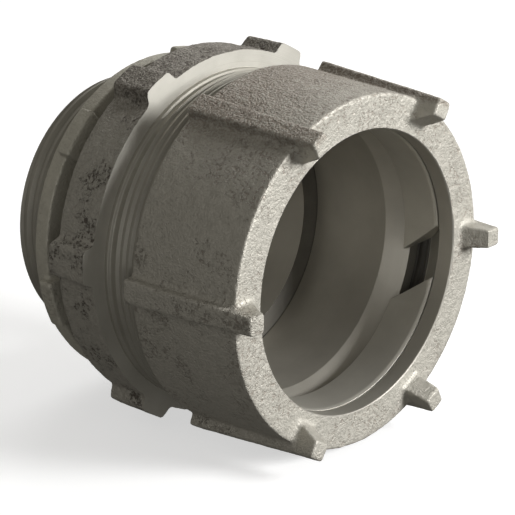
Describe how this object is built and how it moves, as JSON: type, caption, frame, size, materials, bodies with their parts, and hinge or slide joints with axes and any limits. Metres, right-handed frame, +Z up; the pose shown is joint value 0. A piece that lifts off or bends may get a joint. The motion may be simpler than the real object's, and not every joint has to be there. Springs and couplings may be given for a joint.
{
  "type": "conduit compression connector",
  "caption": "Threadless compression connector for rigid conduit: threaded nipple with a locknut, lugged collar, split ring and a ribbed gland nut with forward lugs.",
  "frame": {"origin": "on the conduit's axis, at the shoulder inside the body where the conduit's end stops", "axes": "+X along the axis, out of the gland nut's mouth; the threaded nipple points to -X; +Z up, midway between two ribs of the nut; the picture's side is -Y"},
  "size_m": [0.0969, 0.1058, 0.0988],
  "materials": {
    "body_iron": "zinc-plated malleable iron, cast skin with machined faces",
    "nut_iron": "zinc-plated malleable iron, cast skin with machined faces",
    "locknut_iron": "zinc-plated malleable iron",
    "ring_steel": "turned steel"
  },
  "bodies": {
    "connector": {"connector_body": "body_iron"},
    "ring": {"compression_ring": "ring_steel"},
    "nut": {"gland_nut": "nut_iron"},
    "locknut": {"locknut": "locknut_iron"}
  },
  "joints": [
    {"name": "ring_advance", "type": "slide", "parent": "connector", "child": "ring", "axis": [1, 0, 0], "range_m": [-0.00232, 0.01387]},
    {"name": "nut_turn", "type": "hinge", "parent": "ring", "child": "nut", "pos_m": [0, 0, 0], "axis": [1, 0, 0], "range_deg": [-360, 2160]},
    {"name": "locknut_turn", "type": "hinge", "parent": "connector", "child": "locknut", "pos_m": [0, 0, 0], "axis": [1, 0, 0], "range_deg": [-1440, 720]}
  ],
  "couplings": [
    {"joint": "ring_advance", "follows": "nut_turn", "m_per_rad": 0.00036749}
  ]
}
